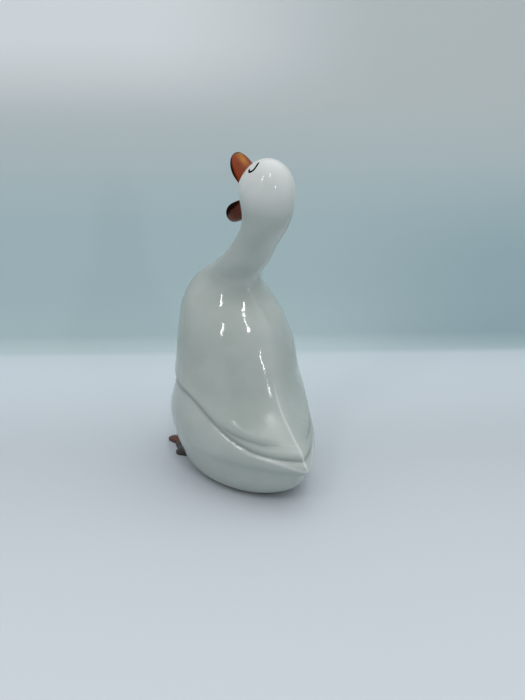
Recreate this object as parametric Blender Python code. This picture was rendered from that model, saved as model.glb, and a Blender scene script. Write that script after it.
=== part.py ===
"""Laughing duck figurine: one hollow, slip-cast and glazed ceramic duck that stands upright.

The duck faces -Y, its left side is +X, and its flat base lies on Z = 0. All sizes are in metres.
The body, neck and head are one skin laid through egg-shaped sections. The bill halves and the
webbed feet are joined to it, and the hollow and its vent hole are cut out of it.
"""
import math
from collections import namedtuple

import bmesh
import bpy
import numpy as np

# The body as level sections, from the base up to the neck. Each is an egg between a point on the
# breast outline and a point on the back outline. Wedge is 0.5 for a round back end, 1 for a sharp one.
Section = namedtuple("Section", "breast_y breast_z back_y back_z half_width wedge")
BODY_SECTIONS = (
    Section(-0.0490, 0.0000, 0.0475, 0.0000, 0.0290, 0.50),
    Section(-0.0565, 0.0035, 0.0550, 0.0032, 0.0352, 0.52),
    Section(-0.0600, 0.0110, 0.0655, 0.0100, 0.0392, 0.62),
    Section(-0.0620, 0.0210, 0.0718, 0.0190, 0.0424, 0.78),
    Section(-0.0620, 0.0270, 0.0766, 0.0250, 0.0442, 0.90),
    Section(-0.0610, 0.0320, 0.0820, 0.0300, 0.0456, 0.98),
    Section(-0.0585, 0.0390, 0.0768, 0.0375, 0.0470, 0.98),
    Section(-0.0520, 0.0520, 0.0600, 0.0500, 0.0474, 0.90),
    Section(-0.0470, 0.0660, 0.0480, 0.0635, 0.0440, 0.80),
    Section(-0.0445, 0.0820, 0.0412, 0.0800, 0.0416, 0.73),
    Section(-0.0440, 0.0980, 0.0355, 0.0970, 0.0396, 0.70),
    Section(-0.0450, 0.1130, 0.0280, 0.1120, 0.0350, 0.74),
    Section(-0.0450, 0.1260, 0.0180, 0.1240, 0.0300, 0.80),
    Section(-0.0400, 0.1368, 0.0135, 0.1345, 0.0228, 0.76),
    Section(-0.0230, 0.1468, 0.0150, 0.1430, 0.0182, 0.58),
    Section(-0.0050, 0.1562, 0.0220, 0.1510, 0.0168, 0.50),
    Section(0.0075, 0.1655, 0.0278, 0.1590, 0.0158, 0.50),
    Section(0.0160, 0.1745, 0.0352, 0.1665, 0.0153, 0.50),
    Section(0.0205, 0.1830, 0.0437, 0.1750, 0.0154, 0.50),
    Section(0.0180, 0.1945, 0.0502, 0.1855, 0.0165, 0.50),
)
FINE_RELIEF_SECTIONS = (3, 9)     # the wing and tail edges lie between these two sections

WIDEST_SHIFT = 0.18               # a sharp back end puts a section's widest place farther forward

# The head is an egg that leans back with the neck.
HEAD_Y, HEAD_Z = 0.0332, 0.1969
HEAD_HALF_WIDTH = 0.0173
HEAD_HALF_DEPTH = 0.0181
HEAD_HALF_HEIGHT = 0.0218
HEAD_LEAN = math.radians(18)
HEAD_RING_ANGLES = (5, 30, 55, 75, 90)

# Folded wing in low relief, drawn in side view as (y, z): its front and lower edge, the edge of the
# feathers above the tail, and the crease along the side of the tail.
WING_EDGE = ((-0.0200, 0.1320), (-0.0380, 0.1100), (-0.0370, 0.0860), (-0.0200, 0.0705),
             (0.0050, 0.0645), (0.0235, 0.0540), (0.0410, 0.0435), (0.0560, 0.0378),
             (0.0700, 0.0360), (0.0860, 0.0368))
FEATHER_EDGE = ((0.0280, 0.0530), (0.0380, 0.0478), (0.0470, 0.0448), (0.0600, 0.0422),
                (0.0800, 0.0412))
TAIL_CREASE = ((0.0400, 0.0390), (0.0550, 0.0364), (0.0700, 0.0338), (0.0860, 0.0286))
WING_RISE = 0.0018
WING_TOP_FADE = (0.106, 0.136)    # the wing sinks into the shoulder between these heights
FEATHER_RISE = 0.0013
FEATHER_FADE = (0.026, 0.042)
FEATHER_END = (0.056, 0.068)      # the feather edge dies away here, short of the tail's ridge
CREASE_RISE = 0.0007
CREASE_FADE = (0.042, 0.064)
LIP_WIDTH = 0.0050
WING_REACH = 0.035                # how far back from its edge the lip dies away
FEATHER_REACH = 0.014
GROOVE_DEPTH = 0.0007
GROOVE_WIDTH = 0.0028
CREASE_WIDTH = 0.0018

# Wide open bill. Root and tip lie on the middle plane and are measured from the head's centre.
# The tip's rounding starts at the share round_from of its length.
Bill = namedtuple("Bill", "root_y root_z tip_y tip_z half_width root_height tip_height edge_lift round_from")
UPPER_BILL = Bill(-0.0115, 0.0015, -0.0344, 0.0226, 0.0094, 0.0070, 0.0036, -0.0022, 0.38)
LOWER_BILL = Bill(-0.0090, -0.0060, -0.0415, -0.0213, 0.0090, 0.0100, 0.0056, 0.0056, 0.50)
BILL_ROOT_NARROWING = 0.35        # the bill is this share narrower at the head
BILL_ROOT_LENGTH = 0.60           # and reaches its full width this far along
BILL_TIP_POWER = 2.4              # how square the rounding of the tip is
BILL_TIP_THINNING = 0.7           # how much the tip thins out as it narrows

# Webbed feet: three toes fan out from the heel. Angles run outward from straight ahead.
HEEL_X, HEEL_Y = 0.0130, -0.0140
HEEL_RADIUS = 0.0080
TOE_ANGLES = (-6, 18, 42)
TOE_LENGTHS = (0.0500, 0.0506, 0.0326)
TOE_RADIUS = 0.0042
TOE_HEIGHT = 0.0052
WEB_HEIGHT = 0.0030
WEB_SHARE = 0.88                  # how far out the web reaches along the toes
TOE_MARGINS = (12, 14)            # degrees left for the sides of the inner and outer toe
TOE_POINTS_SHARE = 0.75           # share of the outline's points that lie on the toes and web
FOOT_LIFT = 0.0003                # the feet stay just clear of what the base stands on
FOOT_RING_SHARES = (1.0, 1.0, 0.97, 0.90, 0.70, 0.40)
FOOT_EDGE_SHARE = 0.4              # height of the foot's rounded edge as a share of its full height

# Hollow casting with a vent hole in the base.
WALL = 0.0040
FLOOR = 0.0045
FLOOR_CORNER_FILL = 0.0040        # the slip rounds off the inside corner between floor and wall
TAIL_FILL = 0.0030                # the slip fills the narrow tail deeper than the plain wall
VENT_Y = 0.0200
VENT_RADIUS = 0.0100

# Mesh fineness
AROUND = 56
RINGS_BELOW, RINGS_RELIEF, RINGS_ABOVE = 9, 27, 33
HOLLOW_AROUND, HOLLOW_RINGS = 24, 30
BILL_AROUND, BILL_RINGS = 20, 12
FOOT_AROUND = 56

# Glaze colours: linear RGB and roughness
GLAZES = {
    "white_glaze": ((0.56, 0.60, 0.57, 1.0), 0.12),
    "brown_glaze": ((0.16, 0.035, 0.015, 1.0), 0.12),
}
WHITE, BROWN = 0, 1


def natural_spline(knots, values, query):
    """Natural cubic spline through rows of values, read at each query."""
    knots, values = np.asarray(knots, float), np.asarray(values, float)
    count = len(knots)
    step = np.diff(knots)
    system, right_side = np.eye(count), np.zeros_like(values)
    for i in range(1, count - 1):
        system[i, i - 1:i + 2] = step[i - 1], 2 * (step[i - 1] + step[i]), step[i]
        right_side[i] = 6 * ((values[i + 1] - values[i]) / step[i] - (values[i] - values[i - 1]) / step[i - 1])
    bend = np.linalg.solve(system, right_side)
    i = np.clip(np.searchsorted(knots, query, side="right") - 1, 0, count - 2)
    width = step[i][:, None]
    a, b = (knots[i + 1] - query)[:, None] / width, (query - knots[i])[:, None] / width
    cubic = ((a ** 3 - a) * bend[i] + (b ** 3 - b) * bend[i + 1]) * width ** 2 / 6
    return a * values[i] + b * values[i + 1] + cubic


def smooth_step(value, start, end):
    share = np.clip((value - start) / (end - start), 0, 1)
    return share * share * (3 - 2 * share)


def head_sections(inset):
    """Sections across the leaning egg of the head, from low on its front to its crown."""
    lean_y, lean_z = math.sin(HEAD_LEAN), math.cos(HEAD_LEAN)
    rows = []
    for angle in HEAD_RING_ANGLES:
        rise = (HEAD_HALF_HEIGHT - inset) * math.sin(math.radians(angle))
        reach = (HEAD_HALF_DEPTH - inset) * math.cos(math.radians(angle))
        y, z = HEAD_Y + lean_y * rise, HEAD_Z + lean_z * rise
        half_width = (HEAD_HALF_WIDTH - inset) * math.cos(math.radians(angle))
        rows.append(Section(y - lean_z * reach, z + lean_y * reach,
                            y + lean_z * reach, z - lean_y * reach, half_width, 0.5))
    return rows


def offset_outline(points, inset):
    """Move an outline in the middle plane square to itself. It is walked with its inside on the left."""
    ahead = np.roll(points, -1, axis=0)
    behind = np.roll(points, 1, axis=0)
    ahead[-1], behind[0] = points[-1], points[0]
    along = ahead - behind
    along /= np.linalg.norm(along, axis=1)[:, None]
    return points + inset * np.stack([along[:, 1], -along[:, 0]], axis=1)


def hollow_sections():
    """The body's sections moved in by the wall, starting on top of the floor."""
    rows = np.array(BODY_SECTIONS[1:])
    breast = offset_outline(rows[:, 0:2], WALL)
    back = offset_outline(rows[:, 2:4], -WALL)
    back[:, 0] -= TAIL_FILL * (rows[:, 5] - 0.5) * 2
    half_width = rows[:, 4:5] - WALL
    breast[0] = breast[0, 0] + FLOOR_CORNER_FILL, FLOOR
    back[0] = back[0, 0] - FLOOR_CORNER_FILL, FLOOR
    half_width[0] -= FLOOR_CORNER_FILL
    body = np.hstack([breast, back, half_width, rows[:, 5:6]])
    return [Section(*row) for row in body] + head_sections(WALL)


def travel(rows):
    """Distance climbed up to each section, averaged between the breast and the back."""
    rows = np.array(rows)
    breast = np.linalg.norm(np.diff(rows[:, 0:2], axis=0), axis=1)
    back = np.linalg.norm(np.diff(rows[:, 2:4], axis=0), axis=1)
    return np.concatenate([[0], np.cumsum((breast + back) / 2)])


def skin_rings(rows, levels, around):
    """Rings of points laid smoothly through the sections. The last ring closes at the crown."""
    climb = travel(rows)
    rows = np.array(rows)
    over = np.concatenate([climb, 2 * climb[-1] - climb[::-1][1:]])
    outline = np.concatenate([rows[:, 0:2], rows[::-1, 2:4][1:]])
    half_widths = np.concatenate([rows[:, 4], -rows[::-1, 4][1:]])[:, None]
    breast = natural_spline(over, outline, levels)
    back = natural_spline(over, outline, 2 * climb[-1] - levels)
    half_width = natural_spline(over, half_widths, levels)
    wedge = natural_spline(climb, rows[:, 5:6], levels)
    turn = np.linspace(0, 2 * math.pi, around, endpoint=False)
    forward, side = np.cos(turn)[None, :], np.sign(np.sin(turn))[None, :]
    centre = (breast + back) / 2 + (breast - back) * WIDEST_SHIFT * (wedge - 0.5)
    ends = np.where((forward > 0)[:, :, None], breast[:, None] - centre[:, None], centre[:, None] - back[:, None])
    middle = centre[:, None] + forward[:, :, None] * ends
    roundness = np.where(forward > 0, 0.5, wedge)
    x = half_width * np.clip(1 - forward ** 2, 0, 1) ** roundness * side
    return np.dstack([x, middle])


def line_distance(y, z, corner_points):
    """Signed distance in side view to a smooth line. It is positive above the line."""
    corners = np.array(corner_points)
    walk = np.concatenate([[0], np.cumsum(np.linalg.norm(np.diff(corners, axis=0), axis=1))])
    line = natural_spline(walk, corners, np.linspace(0, walk[-1], 80))
    nearest = np.full(y.shape, 1.0)
    signed = np.zeros(y.shape)
    for (y0, z0), (y1, z1) in zip(line[:-1], line[1:]):
        dy, dz = y1 - y0, z1 - z0
        share = np.clip(((y - y0) * dy + (z - z0) * dz) / (dy * dy + dz * dz), 0, 1)
        off_y, off_z = y - y0 - share * dy, z - z0 - share * dz
        distance = np.hypot(off_y, off_z)
        closer = distance < nearest
        nearest = np.where(closer, distance, nearest)
        signed = np.where(closer, distance * np.sign(dy * off_z - dz * off_y), signed)
    return signed


def lip(distance, rise, reach):
    """A rounded lip on the upper side of a line, with a groove along its foot."""
    edge = np.clip(distance / LIP_WIDTH, 0, 1)
    raised = rise * np.sqrt(1 - (1 - edge) ** 2) * np.exp(-np.clip(distance, 0, None) / reach)
    return raised - GROOVE_DEPTH * np.exp(-(distance / GROOVE_WIDTH) ** 2)


def relief(y, z):
    """Height of the wing and tail relief over the plain body."""
    wing = lip(line_distance(y, z, WING_EDGE), WING_RISE, WING_REACH)
    feathers = lip(line_distance(y, z, FEATHER_EDGE), FEATHER_RISE, FEATHER_REACH)
    crease = CREASE_RISE * np.exp(-np.abs(line_distance(y, z, TAIL_CREASE)) / CREASE_WIDTH)
    return (wing * (1 - smooth_step(z, *WING_TOP_FADE))
            + feathers * smooth_step(y, *FEATHER_FADE) * (1 - smooth_step(y, *FEATHER_END))
            + crease * smooth_step(y, *CREASE_FADE))


def raise_relief(rings):
    """Push the rings' points out along the skin's normal by the relief."""
    up = np.gradient(rings, axis=0)
    along = np.roll(rings, -1, axis=1) - np.roll(rings, 1, axis=1)
    normal = np.cross(along, up)
    normal /= np.maximum(np.linalg.norm(normal, axis=2), 1e-9)[:, :, None]
    height = relief(rings[:, :, 1], rings[:, :, 2])
    height[:2] = 0
    height[-2:] = 0
    return rings + normal * height[:, :, None]


def material(name):
    colour, roughness = GLAZES[name]
    glaze = bpy.data.materials.new(name)
    glaze.use_nodes = True
    shader = glaze.node_tree.nodes["Principled BSDF"]
    shader.inputs["Base Color"].default_value = colour
    shader.inputs["Roughness"].default_value = roughness
    shader.inputs["Metallic"].default_value = 0.0
    glaze.diffuse_color = colour
    return glaze


def lofted(name, rings, glazes, glaze, closed_tip):
    """A solid from rings of points: flat at the first ring, closed at a point or flat at the last."""
    mesh_builder = bmesh.new()
    count = len(rings)
    levels = [[mesh_builder.verts.new(point) for point in ring] for ring in rings[:count - 1]]
    around = len(levels[0])
    for low, high in zip(levels[:-1], levels[1:]):
        for i in range(around):
            j = (i + 1) % around
            mesh_builder.faces.new((low[i], low[j], high[j], high[i]))
    if closed_tip:
        tip = mesh_builder.verts.new(rings[-1].mean(axis=0))
        for i in range(around):
            mesh_builder.faces.new((levels[-1][i], levels[-1][(i + 1) % around], tip))
    else:
        last = [mesh_builder.verts.new(point) for point in rings[-1]]
        for i in range(around):
            j = (i + 1) % around
            mesh_builder.faces.new((levels[-1][i], levels[-1][j], last[j], last[i]))
        mesh_builder.faces.new(last)
    mesh_builder.faces.new(levels[0][::-1])
    bmesh.ops.triangulate(mesh_builder, faces=[face for face in mesh_builder.faces if len(face.verts) > 4])
    bmesh.ops.recalc_face_normals(mesh_builder, faces=mesh_builder.faces)
    for face in mesh_builder.faces:
        face.material_index = glaze
    mesh = bpy.data.meshes.new(name)
    mesh_builder.to_mesh(mesh)
    mesh_builder.free()
    mesh.shade_smooth()
    mesh.set_sharp_from_angle(angle=math.radians(45))
    for slot in glazes:
        mesh.materials.append(slot)
    return bpy.data.objects.new(name, mesh)


def bill_rings(bill):
    """Rings along one half of the bill, from inside the head to its round tip."""
    length = math.hypot(bill.tip_y - bill.root_y, bill.tip_z - bill.root_z)
    along_y, along_z = (bill.tip_y - bill.root_y) / length, (bill.tip_z - bill.root_z) / length
    turn = np.linspace(0, 2 * math.pi, BILL_AROUND, endpoint=False)
    rings = []
    for step in range(BILL_RINGS + 1):
        share = math.sin(step / BILL_RINGS * math.pi / 2)
        beyond = max(0.0, share - bill.round_from) / (1 - bill.round_from)
        taper = math.sqrt(max(0.0, 1 - beyond ** BILL_TIP_POWER))
        narrowing = BILL_ROOT_NARROWING * max(0.0, 1 - share / BILL_ROOT_LENGTH) ** 2
        half_width = bill.half_width * taper * (1 - narrowing)
        half_height = (bill.root_height + (bill.tip_height - bill.root_height) * share) / 2
        half_height *= taper ** BILL_TIP_THINNING
        x = half_width * np.cos(turn)
        lift = half_height * np.sin(turn) + bill.edge_lift * (x / bill.half_width) ** 2
        y = HEAD_Y + bill.root_y + along_y * length * share + along_z * lift
        z = HEAD_Z + bill.root_z + along_z * length * share - along_y * lift
        rings.append(np.stack([x, y, z], axis=1))
    return np.array(rings)


def foot_outline(angles):
    """Reach of the foot from its heel: three round toes, the web between them and the heel."""
    toe_angles = np.radians(TOE_ANGLES)
    reach = np.full(angles.shape, HEEL_RADIUS)
    for toe_angle, length in zip(toe_angles, TOE_LENGTHS):
        off = np.abs(angles - toe_angle)
        centre = length - TOE_RADIUS
        sideways = centre * np.sin(off)
        round_tip = centre * np.cos(off) + np.sqrt(np.clip(TOE_RADIUS ** 2 - sideways ** 2, 0, None))
        straight_side = TOE_RADIUS / np.maximum(np.sin(off), 1e-6)
        toe = np.where(sideways < TOE_RADIUS, round_tip, straight_side)
        reach = np.where(off < math.pi / 2, np.maximum(reach, toe), reach)
    web = WEB_SHARE * np.interp(angles, toe_angles, TOE_LENGTHS)
    inside = (angles > toe_angles[0]) & (angles < toe_angles[-1])
    return np.where(inside, np.maximum(reach, web), reach)


def foot_rings(side):
    """Rings over the foot, from its outline up to its middle. Toes stand higher than the web."""
    spread_start = math.radians(TOE_ANGLES[0] - TOE_MARGINS[0])
    spread_end = math.radians(TOE_ANGLES[-1] + TOE_MARGINS[1])
    toes = int(FOOT_AROUND * TOE_POINTS_SHARE)
    angles = np.concatenate([np.linspace(spread_start, spread_end, toes, endpoint=False),
                             np.linspace(spread_end, spread_start + 2 * math.pi, FOOT_AROUND - toes,
                                         endpoint=False)])
    wrapped = np.where(angles > math.pi, angles - 2 * math.pi, angles)
    reach = foot_outline(wrapped)
    to_toe = np.min([np.abs(np.sin(wrapped - math.radians(toe))) for toe in TOE_ANGLES], axis=0)
    rings = []
    for share in FOOT_RING_SHARES:
        height = WEB_HEIGHT + (TOE_HEIGHT - WEB_HEIGHT) * np.exp(-(to_toe * reach * share / TOE_RADIUS) ** 2)
        rounding = math.sqrt(1 - share ** 8) if rings else 0.0
        low = FOOT_EDGE_SHARE if len(rings) == 1 else 0.0
        z = FOOT_LIFT + height * max(rounding, low)
        x = side * (HEEL_X + reach * share * np.sin(wrapped))
        y = HEEL_Y - reach * share * np.cos(wrapped)
        rings.append(np.stack([x, y, z], axis=1))
    middle = np.stack([np.full(FOOT_AROUND, side * HEEL_X), np.full(FOOT_AROUND, HEEL_Y),
                       np.full(FOOT_AROUND, FOOT_LIFT + TOE_HEIGHT)], axis=1)
    rings.append(middle)
    return np.array(rings)


def vent_cutter():
    """The round hole through the floor, cut from below the base into the hollow."""
    length = FLOOR * 3
    bpy.ops.mesh.primitive_cylinder_add(vertices=32, radius=VENT_RADIUS, depth=length,
                                        location=(0, VENT_Y, 0))
    vent = bpy.context.active_object
    vent.name = "vent_cutter"
    return vent


def join(target, tool, operation):
    change = target.modifiers.new(tool.name, "BOOLEAN")
    change.operation = operation
    change.solver = "EXACT"
    change.object = tool


def main():
    for old in list(bpy.data.objects):
        bpy.data.objects.remove(old, do_unlink=True)
    figure = bpy.data.collections.new("duck_figurine")
    cutters = bpy.data.collections.new("cutters")
    bpy.context.scene.collection.children.link(figure)
    bpy.context.scene.collection.children.link(cutters)
    glazes = [material(name) for name in GLAZES]

    rows = list(BODY_SECTIONS) + head_sections(0.0)
    climb = travel(rows)
    low, high = (climb[index] for index in FINE_RELIEF_SECTIONS)
    levels = np.concatenate([np.linspace(0, low, RINGS_BELOW, endpoint=False),
                             np.linspace(low, high, RINGS_RELIEF, endpoint=False),
                             np.linspace(high, climb[-1], RINGS_ABOVE)])
    duck = lofted("duck", raise_relief(skin_rings(rows, levels, AROUND)), glazes, WHITE, True)
    figure.objects.link(duck)

    hollow_rows = hollow_sections()
    hollow_levels = np.linspace(0, travel(hollow_rows)[-1], HOLLOW_RINGS)
    added = [lofted("upper_bill", bill_rings(UPPER_BILL), glazes, BROWN, True),
             lofted("lower_bill", bill_rings(LOWER_BILL), glazes, BROWN, True),
             lofted("left_foot", foot_rings(1), glazes, BROWN, True),
             lofted("right_foot", foot_rings(-1), glazes, BROWN, True)]
    removed = [lofted("hollow", skin_rings(hollow_rows, hollow_levels, HOLLOW_AROUND), glazes, WHITE, True),
               vent_cutter()]
    for tool in added:
        join(duck, tool, "UNION")
    for tool in removed:
        join(duck, tool, "DIFFERENCE")
    for tool in added + removed:
        for owner in list(tool.users_collection):
            owner.objects.unlink(tool)
        cutters.objects.link(tool)
        tool.hide_render = True
        tool.display_type = "WIRE"


main()
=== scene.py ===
"""Looks of the duck figurine: glaze, painted eyes, bare clay, floor, wall, lamps and camera.

The duck faces -Y, its left side is +X, and its flat base lies on Z = 0. All sizes are in metres.
"""
import math
from collections import namedtuple

import bmesh
import bpy
import numpy as np
from mathutils import Matrix, Vector
from mathutils.bvhtree import BVHTree


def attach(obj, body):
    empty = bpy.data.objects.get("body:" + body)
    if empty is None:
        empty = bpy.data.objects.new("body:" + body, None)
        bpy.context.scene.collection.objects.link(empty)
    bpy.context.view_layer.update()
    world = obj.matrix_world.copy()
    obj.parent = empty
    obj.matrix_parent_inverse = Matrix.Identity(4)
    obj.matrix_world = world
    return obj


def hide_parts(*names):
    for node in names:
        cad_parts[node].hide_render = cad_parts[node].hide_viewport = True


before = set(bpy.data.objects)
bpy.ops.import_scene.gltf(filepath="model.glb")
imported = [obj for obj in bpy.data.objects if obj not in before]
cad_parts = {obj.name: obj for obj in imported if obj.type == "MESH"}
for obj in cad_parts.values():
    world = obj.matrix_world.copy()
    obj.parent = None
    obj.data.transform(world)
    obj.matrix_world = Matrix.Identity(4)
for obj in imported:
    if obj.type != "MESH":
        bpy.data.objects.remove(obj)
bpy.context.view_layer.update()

# The body as level sections, from the base up to the neck. Each is an egg between a point on the
# breast outline and a point on the back outline. Wedge is 0.5 for a round back end, 1 for a sharp one.
Section = namedtuple("Section", "breast_y breast_z back_y back_z half_width wedge")
BODY_SECTIONS = (
    Section(-0.0490, 0.0000, 0.0475, 0.0000, 0.0290, 0.50),
    Section(-0.0565, 0.0035, 0.0550, 0.0032, 0.0352, 0.52),
    Section(-0.0600, 0.0110, 0.0655, 0.0100, 0.0392, 0.62),
    Section(-0.0620, 0.0210, 0.0718, 0.0190, 0.0424, 0.78),
    Section(-0.0620, 0.0270, 0.0766, 0.0250, 0.0442, 0.90),
    Section(-0.0610, 0.0320, 0.0820, 0.0300, 0.0456, 0.98),
    Section(-0.0585, 0.0390, 0.0768, 0.0375, 0.0470, 0.98),
    Section(-0.0520, 0.0520, 0.0600, 0.0500, 0.0474, 0.90),
    Section(-0.0470, 0.0660, 0.0480, 0.0635, 0.0440, 0.80),
    Section(-0.0445, 0.0820, 0.0412, 0.0800, 0.0416, 0.73),
    Section(-0.0440, 0.0980, 0.0355, 0.0970, 0.0396, 0.70),
    Section(-0.0450, 0.1130, 0.0280, 0.1120, 0.0350, 0.74),
    Section(-0.0450, 0.1260, 0.0180, 0.1240, 0.0300, 0.80),
    Section(-0.0400, 0.1368, 0.0135, 0.1345, 0.0228, 0.76),
    Section(-0.0230, 0.1468, 0.0150, 0.1430, 0.0182, 0.58),
    Section(-0.0050, 0.1562, 0.0220, 0.1510, 0.0168, 0.50),
    Section(0.0075, 0.1655, 0.0278, 0.1590, 0.0158, 0.50),
    Section(0.0160, 0.1745, 0.0352, 0.1665, 0.0153, 0.50),
    Section(0.0205, 0.1830, 0.0437, 0.1750, 0.0154, 0.50),
    Section(0.0180, 0.1945, 0.0502, 0.1855, 0.0165, 0.50),
)

WIDEST_SHIFT = 0.18               # a sharp back end puts a section's widest place farther forward

# The head is an egg that leans back with the neck.
HEAD_Y, HEAD_Z = 0.0332, 0.1969
HEAD_HALF_WIDTH = 0.0173
HEAD_HALF_DEPTH = 0.0181
HEAD_HALF_HEIGHT = 0.0218
HEAD_LEAN = math.radians(18)
HEAD_RING_ANGLES = (5, 30, 55, 75, 90)

# Folded wing in low relief, drawn in side view as (y, z): its front and lower edge, the edge of the
# feathers above the tail, and the crease along the side of the tail.
WING_EDGE = ((-0.0200, 0.1320), (-0.0380, 0.1100), (-0.0370, 0.0860), (-0.0200, 0.0705),
             (0.0050, 0.0645), (0.0235, 0.0540), (0.0410, 0.0435), (0.0560, 0.0378),
             (0.0700, 0.0360), (0.0860, 0.0368))
FEATHER_EDGE = ((0.0280, 0.0530), (0.0380, 0.0478), (0.0470, 0.0448), (0.0600, 0.0422),
                (0.0800, 0.0412))
TAIL_CREASE = ((0.0400, 0.0390), (0.0550, 0.0364), (0.0700, 0.0338), (0.0860, 0.0286))
WING_RISE = 0.0018
WING_TOP_FADE = (0.106, 0.136)    # the wing sinks into the shoulder between these heights
FEATHER_RISE = 0.0013
FEATHER_FADE = (0.026, 0.042)
FEATHER_END = (0.056, 0.068)      # the feather edge dies away here, short of the tail's ridge
CREASE_RISE = 0.0007
CREASE_FADE = (0.042, 0.064)
LIP_WIDTH = 0.0048
WING_REACH = 0.035                # how far back from its edge the lip dies away
FEATHER_REACH = 0.014
GROOVE_DEPTH = 0.0008
GROOVE_WIDTH = 0.0016
CREASE_WIDTH = 0.0016

# Wide open bill. Root and tip lie on the middle plane and are measured from the head's centre.
# The tip's rounding starts at the share round_from of its length.
Bill = namedtuple("Bill", "root_y root_z tip_y tip_z half_width root_height tip_height edge_lift round_from")
UPPER_BILL = Bill(-0.0115, 0.0015, -0.0344, 0.0226, 0.0094, 0.0070, 0.0036, -0.0022, 0.38)
LOWER_BILL = Bill(-0.0090, -0.0060, -0.0415, -0.0213, 0.0090, 0.0100, 0.0056, 0.0056, 0.50)
BILL_ROOT_NARROWING = 0.35        # the bill is this share narrower at the head
BILL_ROOT_LENGTH = 0.60           # and reaches its full width this far along
BILL_TIP_POWER = 2.4              # how square the rounding of the tip is
BILL_TIP_THINNING = 0.7           # how much the tip thins out as it narrows

# Webbed feet: three toes fan out from the heel. Angles run outward from straight ahead.
HEEL_X, HEEL_Y = 0.0130, -0.0140
HEEL_RADIUS = 0.0080
TOE_ANGLES = (-6, 18, 42)
TOE_LENGTHS = (0.0500, 0.0506, 0.0326)
TOE_RADIUS = 0.0042
TOE_HEIGHT = 0.0052
WEB_HEIGHT = 0.0030
WEB_SHARE = 0.88                  # how far out the web reaches along the toes
TOE_MARGINS = (12, 14)            # degrees left for the sides of the inner and outer toe
TOE_POINTS_SHARE = 0.75           # share of the outline's points that lie on the toes and web
FOOT_LIFT = 0.0003                # the feet stay just clear of what the base stands on
FOOT_RING_SHARES = (1.0, 1.0, 0.985, 0.965, 0.94, 0.90, 0.85, 0.78, 0.68, 0.56, 0.42, 0.27, 0.12)
FOOT_EDGE_SHARE = 0.3             # height of the foot's rounded edge as a share of its full height
FOOT_ROUNDNESS = 8                # how flat the foot stays before its edge rounds off

# Hollow casting with a vent hole in the base.
WALL = 0.0040
FLOOR = 0.0045
FLOOR_CORNER_FILL = 0.0040        # the slip rounds off the inside corner between floor and wall
TAIL_FILL = 0.0030                # the slip fills the narrow tail deeper than the plain wall
VENT_Y = 0.0200
VENT_RADIUS = 0.0100
VENT_TOP = 1.5                    # the cut runs through the floor to this many times its thickness
VENT_INNER_SHARE = 0.5            # radius of the ring on the cut's flat top

# Mesh fineness
AROUND = 280
BACK_SHARE = 0.35                 # points crowd together at the back and thin out at the breast
RINGS_RELIEF, RINGS_ABOVE = 215, 75
RELIEF_SECTIONS = 13              # the wings and tail end at this section
HOLLOW_AROUND, HOLLOW_RINGS = 48, 60
BILL_AROUND, BILL_RINGS = 64, 48
FOOT_AROUND = 200
VENT_AROUND = 64
LINE_STEPS = 160                  # points along each line of the relief
SHARP_ANGLE = 40                  # edges that bend by more degrees than this stay sharp

WHITE, BROWN, CLAY = 0, 1, 2
RIDGE_ROUNDING = 0.03             # rounds the sharp edge of the back and tail as glaze does
CREST_ROUNDING = 0.0005


def natural_spline(knots, values, query):
    """Natural cubic spline through rows of values, read at each query."""
    knots, values = np.asarray(knots, float), np.asarray(values, float)
    count = len(knots)
    step = np.diff(knots)
    system, right_side = np.eye(count), np.zeros_like(values)
    for i in range(1, count - 1):
        system[i, i - 1:i + 2] = step[i - 1], 2 * (step[i - 1] + step[i]), step[i]
        ahead, behind = (values[i + 1] - values[i]) / step[i], (values[i] - values[i - 1]) / step[i - 1]
        right_side[i] = 6 * (ahead - behind)
    bend = np.linalg.solve(system, right_side)
    i = np.clip(np.searchsorted(knots, query, side="right") - 1, 0, count - 2)
    width = step[i][:, None]
    a, b = (knots[i + 1] - query)[:, None] / width, (query - knots[i])[:, None] / width
    cubic = ((a ** 3 - a) * bend[i] + (b ** 3 - b) * bend[i + 1]) * width ** 2 / 6
    return a * values[i] + b * values[i + 1] + cubic


def smooth_step(value, start, end):
    """A share that runs smoothly from 0 at start to 1 at end."""
    share = np.clip((value - start) / (end - start), 0, 1)
    return share * share * (3 - 2 * share)


def hump(distance, middle, width):
    """A smooth hump that is 1 at its middle."""
    return np.exp(-((distance - middle) / width) ** 2)


def head_sections(inset):
    """Sections across the leaning egg of the head, from low on its front to its crown."""
    lean_y, lean_z = math.sin(HEAD_LEAN), math.cos(HEAD_LEAN)
    rows = []
    for angle in HEAD_RING_ANGLES:
        rise = (HEAD_HALF_HEIGHT - inset) * math.sin(math.radians(angle))
        reach = (HEAD_HALF_DEPTH - inset) * math.cos(math.radians(angle))
        y, z = HEAD_Y + lean_y * rise, HEAD_Z + lean_z * rise
        half_width = (HEAD_HALF_WIDTH - inset) * math.cos(math.radians(angle))
        rows.append(Section(y - lean_z * reach, z + lean_y * reach,
                            y + lean_z * reach, z - lean_y * reach, half_width, 0.5))
    return rows


def offset_outline(points, inset):
    """Move an outline in the middle plane square to itself. It is walked with its inside on the left."""
    ahead = np.roll(points, -1, axis=0)
    behind = np.roll(points, 1, axis=0)
    ahead[-1], behind[0] = points[-1], points[0]
    along = ahead - behind
    along /= np.linalg.norm(along, axis=1)[:, None]
    return points + inset * np.stack([along[:, 1], -along[:, 0]], axis=1)


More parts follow.
